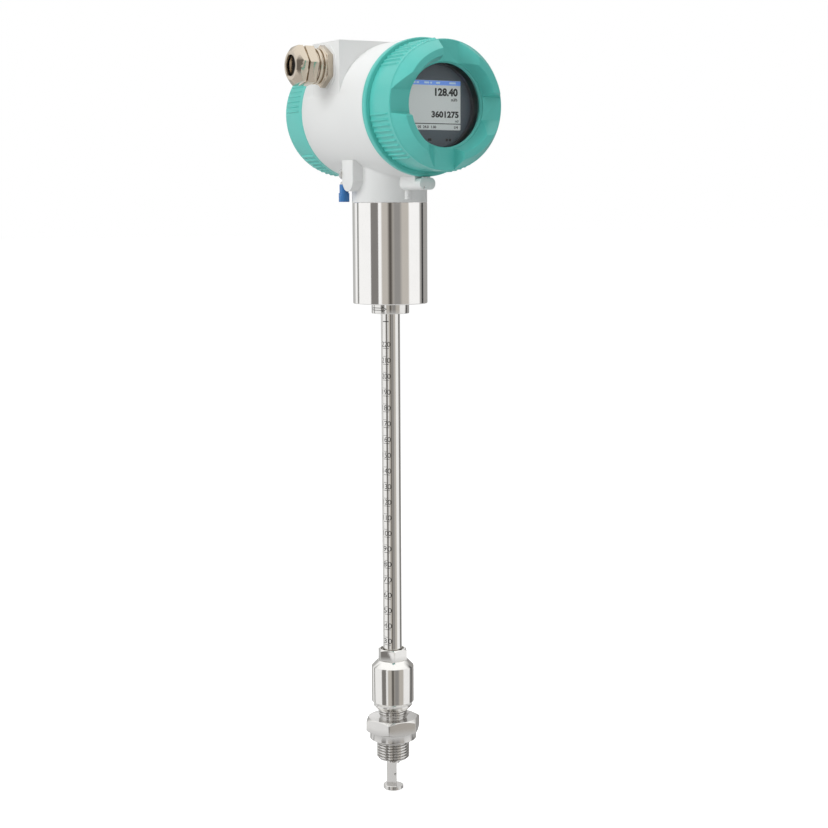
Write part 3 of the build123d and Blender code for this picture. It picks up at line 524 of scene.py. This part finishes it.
def wrap(piece, radius, direction):
    """Bends a flat mark round an upright cylinder, its middle line facing the direction."""
    turn(piece, x=math.pi / 2)
    bend = piece.modifiers.new("bend", "SIMPLE_DEFORM")
    bend.deform_method = "BEND"
    bend.deform_axis = "Z"
    bend.angle = piece.dimensions.x / (radius * mm)
    apply(piece, "bend")
    turn(slide(piece, 0, -radius), z=math.radians(direction + 90))


scale_face, scale_zero, scale_left = 210.0, 33.4, -2.2
number_height, number_width = 3.3, 6.2
mark_lift = 0.004
scale_marks = []
for reading in range(220, 20, -10):
    height = reading + scale_zero
    number = lettering(str(reading), number_height)
    width = number.dimensions.x / mm
    edit(number)
    bpy.ops.mesh.subdivide(number_cuts=1)
    bpy.ops.object.mode_set(mode="OBJECT")
    number.scale = (number_width / width, 1, 1)
    bpy.ops.object.transform_apply(scale=True)
    scale_marks.append(slide(number, -number_width / 2, height))
    scale_marks.append(slide(bar(4.4, 0.28, cuts=11), scale_left, height - 1.0))
    scale_marks.append(slide(bar(2.6, 0.22, cuts=7), scale_left, height - 6.0))
scale_marks.append(slide(bar(4.2, 0.55, cuts=11), -2.1, 269.0))
marks = join(scale_marks, "scale_marks")
wrap(marks, tube_radius + mark_lift, scale_face)


def burnt(name, colour):
    """Laser marking: darkened oxide, broken by the grain of the steel under it."""
    shader, material = finish(name)
    place = shader.node("ShaderNodeTexCoord", output="Object")
    grain = shader.node(
        "ShaderNodeTexNoise", sockets={"Vector": place, "Scale": 2600.0, "Detail": 2.0}
    )
    tone = two_tone(shader, grain, colour, 1, 2.4)
    surface = shader.node(
        "ShaderNodeBsdfPrincipled",
        sockets={"Base Color": tone, "Metallic": 0.6, "Roughness": grain * 0.2 + 0.38},
    )
    shader.close(surface)
    return material


burnt_steel = burnt("burnt_steel", (0.035, 0.035, 0.035))
dress(marks, burnt_steel)
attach(marks, "probe")

# Tip: the round stem milled flat on both sides, with its pressure port through the blade and a
# disc at the end that keeps the probe from being pulled out.
dress(nodes["probe_tip"], milled_steel)

# Arrow ring: a turned stainless ring, pressed on the tube under the sensor.  An arrow burnt into
# it shows the direction of flow.
ring_radius = 11.8
ring_piece = turned("marker_ring", [
    (11.3, 274.2), (11.65, 274.3), (ring_radius, 274.65), (ring_radius, 280.5),
    (6.05, 280.5), (6.05, 274.2),
])
smooth(ring_piece)
dress(ring_piece, turned_steel)
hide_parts("arrow_ring")
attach(ring_piece, "probe")

arrow_face, arrow_height, arrow_line = 202.0, 277.3, 0.34
arrow_tail, arrow_neck = -5.6, 2.9
shaft_half, tail_half = 0.7, 0.85
barb_start, barb_end = 0.55, 1.5
head_length, head_half, head_foot = 2.9, 1.6, 1.55
arrow_parts = []
for side in (-1, 1):
    edge = bar(arrow_neck - arrow_tail, arrow_line, cuts=15)
    arrow_parts.append(slide(edge, arrow_tail, side * shaft_half - arrow_line / 2))
    barb = bar(arrow_line, barb_end - barb_start)
    arrow_parts.append(slide(barb, arrow_neck, min(side * barb_start, side * barb_end)))
    head_side = bar(math.hypot(head_length, head_half), arrow_line, cuts=7)
    turn(head_side, z=-side * math.atan2(head_half, head_length))
    arrow_parts.append(slide(head_side, arrow_neck - 0.1, side * head_foot - arrow_line / 2))
arrow_parts.append(slide(bar(arrow_line, 2 * tail_half), arrow_tail, -tail_half))
arrow = join(arrow_parts, "flow_arrow")
slide(arrow, 0, arrow_height)
wrap(arrow, ring_radius + mark_lift, arrow_face)
dress(arrow, burnt_steel)
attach(arrow, "probe")

# Sensor sleeve: a cup turned from stainless bar and polished, between the probe and the head.
# Its floor is fixed on the tube and its rim in the neck of the casting.
sleeve_steel = metal(
    "sleeve_steel", (0.90, 0.89, 0.875), 0.07, line_pitch=0.4, line_depth=0.001, mottle=0.03
)
cup = turned("sensor_cup", [
    (6.05, 280.5), (22.7, 280.5), (23.1, 280.65), (23.3, 281.0), (23.3, 342.8), (23.1, 343.1),
    (21.1, 343.1), (21.1, 285.5), (6.05, 285.5),
], 192)
smooth(cup)
dress(cup, sleeve_steel)
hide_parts("sensor_sleeve")
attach(cup, "probe")


# Head casting: die-cast aluminium with a satin white coat, its cast edges softly rounded.  Gland
# boss, neck, earthing lug and lock boss are cast in one piece with it.
def paint(name, colour, roughness, grain=0.9, depth=0.012):
    """A sprayed coat: fine orange peel, and a slight change of tone over the casting."""
    shader, material = finish(name)
    place = shader.node("ShaderNodeTexCoord", output="Object")
    peel = shader.node(
        "ShaderNodeTexNoise", sockets={"Vector": place, "Scale": 1 / (grain * mm), "Detail": 3.0}
    )
    drift = shader.node(
        "ShaderNodeTexNoise", sockets={"Vector": place, "Scale": 18.0, "Detail": 2.0}
    )
    tone = two_tone(shader, drift, colour, 0.96, 1.04)
    bump = shader.node(
        "ShaderNodeBump", sockets={"Height": peel, "Strength": 0.5, "Distance": depth * mm}
    )
    surface = shader.node(
        "ShaderNodeBsdfPrincipled",
        sockets={
            "Base Color": tone,
            "Roughness": peel * 0.1 + (roughness - 0.05),
            "Normal": bump,
            "Specular IOR Level": 0.5,
        },
    )
    shader.close(surface)
    return material


white_coat = paint("white_coat", (0.80, 0.81, 0.80), 0.36)
casting = merged_copy("housing_body", "head_casting")
round_edges(casting, 0.5)
smooth(casting)
dress(casting, white_coat)
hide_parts("housing_body")
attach(casting, "probe")

# Covers: die-cast aluminium with a satin teal coat, knurled round the barrel for grip.  The
# front one has four raised sectors round its window.
teal_coat = paint("teal_coat", (0.105, 0.555, 0.495), 0.33)
head_z = 398.88


def cast_edges(piece, width, test):
    """Rounds the sharp edges of a casting whose two ends both pass the test."""
    edit(piece)
    bpy.ops.mesh.select_mode(type="EDGE")
    bpy.ops.mesh.select_all(action="DESELECT")
    bpy.ops.mesh.edges_select_sharp(sharpness=math.radians(25))
    bpy.ops.object.mode_set(mode="OBJECT")
    places = [vertex.co / mm for vertex in piece.data.vertices]
    for edge in piece.data.edges:
        edge.select = edge.select and all(test(places[v]) for v in edge.vertices)
    bpy.ops.object.mode_set(mode="EDIT")
    bpy.ops.mesh.bevel(offset=width * mm, segments=2, affect="EDGES", clamp_overlap=True)
    bpy.ops.mesh.select_mode(type="VERT")
    bpy.ops.object.mode_set(mode="OBJECT")


sector_foot, lip_front, end_start = -70.2, -45.9, 68.0
front = merged_copy("front_cover", "display_cover")
cast_edges(front, 0.45, lambda p: p.y < sector_foot)
cast_edges(front, 0.25, lambda p: p.y > lip_front and math.hypot(p.x, p.z - head_z) > 38.5)
smooth(front)
rear = merged_copy("rear_cover", "blind_cover")
cast_edges(rear, 0.5, lambda p: p.y > end_start and math.hypot(p.x, p.z - head_z) > 37)
smooth(rear)
for cover, node in ((front, "front_cover"), (rear, "rear_cover")):
    dress(cover, teal_coat)
    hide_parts(node)
    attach(cover, "probe")

# Window: a thick toughened lens, held in the front cover by a ring.  It is clear, with a faint
# mirror at grazing angles.
shader, lens_glass = finish("lens_glass")
place = shader.node("ShaderNodeTexCoord", output="Object")
film = shader.node("ShaderNodeTexNoise", sockets={"Vector": place, "Scale": 60.0, "Detail": 2.0})
edge_on = shader.node("ShaderNodeFresnel", sockets={"IOR": 1.45})
through = shader.node("ShaderNodeBsdfTransparent", sockets={"Color": (0.93, 0.95, 0.95, 1)})
mirror = shader.node(
    "ShaderNodeBsdfGlossy", sockets={"Color": (1, 1, 1, 1), "Roughness": film * 0.04}
)
shader.close(shader.mix(edge_on * 0.6, through, mirror))
dress(nodes["window_glass"], lens_glass)


# Display unit: a moulded bezel in blue-grey plastic round a grey liquid crystal panel, lit from
# behind.  Its readings are generic.
def moulded(name, colour, roughness, grain=0.5, depth=0.01, coat=0.0, backlight=0.0):
    """Moulded plastic: an even spark-eroded grain with a slight change of gloss."""
    shader, material = finish(name)
    place = shader.node("ShaderNodeTexCoord", output="Object")
    pores = shader.node(
        "ShaderNodeTexNoise", sockets={"Vector": place, "Scale": 1 / (grain * mm), "Detail": 4.0}
    )
    tone = two_tone(shader, pores, colour, 0.9, 1.1)
    bump = shader.node(
        "ShaderNodeBump", sockets={"Height": pores, "Strength": 0.5, "Distance": depth * mm}
    )
    surface = shader.node(
        "ShaderNodeBsdfPrincipled",
        sockets={
            "Base Color": tone,
            "Roughness": pores * 0.12 + (roughness - 0.06),
            "Normal": bump,
            "Coat Weight": coat,
            "Emission Color": tone,
            "Emission Strength": backlight,
        },
    )
    shader.close(surface)
    return material


bezel_plastic = moulded("bezel_plastic", (0.15, 0.175, 0.215), 0.5)
dress(nodes["display_bezel"], bezel_plastic)
screen_grey = moulded(
    "screen_grey", (0.60, 0.605, 0.60), 0.3, grain=0.16, depth=0.001, backlight=0.42
)
dress(nodes["display_panel"], screen_grey)

screen_front, bezel_front = -56.2, -56.5


def on_screen(piece, x, z, front=screen_front):
    """Stands a flat mark up against the screen with its lower left corner at x and z."""
    return slide(turn(piece, x=math.pi / 2), x, front, head_z + z)


def right_aligned(words, height, width, right_edge, z, bold):
    piece = lettering(words, height, bold)
    piece.scale = (width * mm / piece.dimensions.x, 1, 1)
    only(piece)
    bpy.ops.object.transform_apply(scale=True)
    return on_screen(piece, right_edge - width, z)


def marks_of(pieces, name, material):
    made = join(pieces, name)
    dress(made, material)
    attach(made, "probe")
    return made


ink_black = moulded("ink_black", (0.012, 0.012, 0.014), 0.45, grain=0.2, depth=0.001)
header_blue = moulded(
    "header_blue", (0.17, 0.33, 0.88), 0.4, grain=0.2, depth=0.001, backlight=0.42
)
header_light = moulded(
    "header_light", (0.60, 0.75, 0.95), 0.4, grain=0.2, depth=0.001, backlight=0.3
)
marks_of(
    [on_screen(bar(35.2, 2.6), -17.6, 12.2)], "screen_header", header_blue
)
marks_of(
    [
        on_screen(bar(width, 1.1), x, 13.0, screen_front - 0.03)
        for x, width in (
            (-14.5, 1.6), (-12.2, 1.6), (-7.0, 3.2), (-3.0, 1.2), (1.0, 2.6), (10.0, 4.4)
        )
    ],
    "header_icons", header_light,
)
marks_of(
    [
        right_aligned("128.40", 4.7, 15.6, 15.8, 5.9, 0.045),
        right_aligned("m3/h", 1.8, 4.2, 15.4, 3.0, 0.03),
        right_aligned("3601275", 4.0, 18.6, 16.4, -6.7, 0.045),
        right_aligned("m3", 1.5, 2.2, 16.2, -9.2, 0.03),
        right_aligned("05  24.0  1.00", 1.6, 12.5, 1.0, -12.9, 0.03),
        right_aligned("1/4", 1.6, 2.6, 15.8, -12.9, 0.03),
        on_screen(bar(35.2, 0.5), -17.6, -10.4),
    ],
    "screen_figures", ink_black,
)
key_marks = moulded("key_marks", (0.03, 0.03, 0.035), 0.5)
marks_of(
    [
        on_screen(bar(1.5, 1.5), 7.2, -20.3, bezel_front),
        on_screen(bar(1.5, 1.5), 9.4, -20.3, bezel_front),
        on_screen(bar(2.4, 1.5), -4.9, -20.3, bezel_front),
        on_screen(bar(5.0, 0.6), 5.2, -24.2, bezel_front),
    ],
    "key_marks", key_marks,
)

# Cable gland: adapter, body and dome nut turned from brass hexagon and nickel-plated, round a
# black rubber insert.  The adapter is screwed into the boss.
nickel = metal(
    "plated_brass", (0.60, 0.525, 0.43), 0.12,
    line_pitch=0.3, line_depth=0.0015, mottle=0.06, axis="X",
)
for node, name in (
    ("gland_adapter", "adapter_nut"), ("gland_body", "gland_barrel"), ("gland_cap", "dome_nut")
):
    piece = merged_copy(node, name)
    round_edges(piece, 0.22)
    smooth(piece)
    dress(piece, nickel)
    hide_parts(node)
    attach(piece, "probe")

black_rubber = moulded("black_rubber", (0.018, 0.018, 0.018), 0.6, grain=0.3)
for node in (
    "gland_seal", "shaft_seal", "sleeve_seal", "front_cover_seal", "rear_cover_seal",
    "window_gasket",
):
    dress(nodes[node], black_rubber)

# Earthing point: a zinc-plated screw and its washers clamp a tinned ring terminal on the lug.
# The terminal's crimp is covered by a blue vinyl sleeve.
zinc = metal(
    "zinc_plate", (0.66, 0.67, 0.68), 0.24, line_pitch=0.2, line_depth=0.003, mottle=0.07
)
tin = metal("tinned_copper", (0.74, 0.73, 0.70), 0.26, line_pitch=0.3, line_depth=0.003)
blue_vinyl = moulded(
    "blue_vinyl", (0.03, 0.17, 0.45), 0.34, grain=0.6, depth=0.006, coat=0.3
)
for node, name, material, slot in (
    ("earth_screw", "earth_bolt", zinc, "zinc_steel"),
    ("earth_washer", "earth_rings", zinc, "zinc_steel"),
    ("earth_terminal", "crimp_lug", tin, "tinned_copper"),
    ("earth_terminal_sleeve", "crimp_sleeve", blue_vinyl, "blue_insulation"),
):
    piece = merged_copy(node, name)
    round_edges(piece, 0.15)
    smooth(piece)
    dress(piece, material)
    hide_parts(node)
    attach(piece, "probe")

# Inner pieces and small hardware: boards, terminals, standoffs, screws, tubes and clamping parts.
# They keep their CAD shapes and take the finish of their kind.
# The window retainer's anodising is lifted from black to a mid grey. This is painted light that
# brightens the retainer where it sits in shade inside the cover.
black_anodised = metal("black_anodised", (0.20, 0.21, 0.23), 0.42, line_pitch=0.2)
board_green = moulded("board_green", (0.03, 0.16, 0.07), 0.35, grain=1.2, coat=0.4)
terminal_green = moulded("terminal_green", (0.06, 0.30, 0.12), 0.4)
for names, material in (
    (("clamping_ring", "sensor_manifold"), turned_steel),
    (("pressure_tubes",), probe_steel),
    (("window_retainer",), black_anodised),
    (("display_board", "sensor_board", "terminal_board"), board_green),
    (("terminal_blocks",), terminal_green),
    (("board_standoffs", "terminal_spacers"), nickel),
    (("board_screws", "cover_lock_screw"), zinc),
):
    for name in names:
        dress(nodes[name], material)
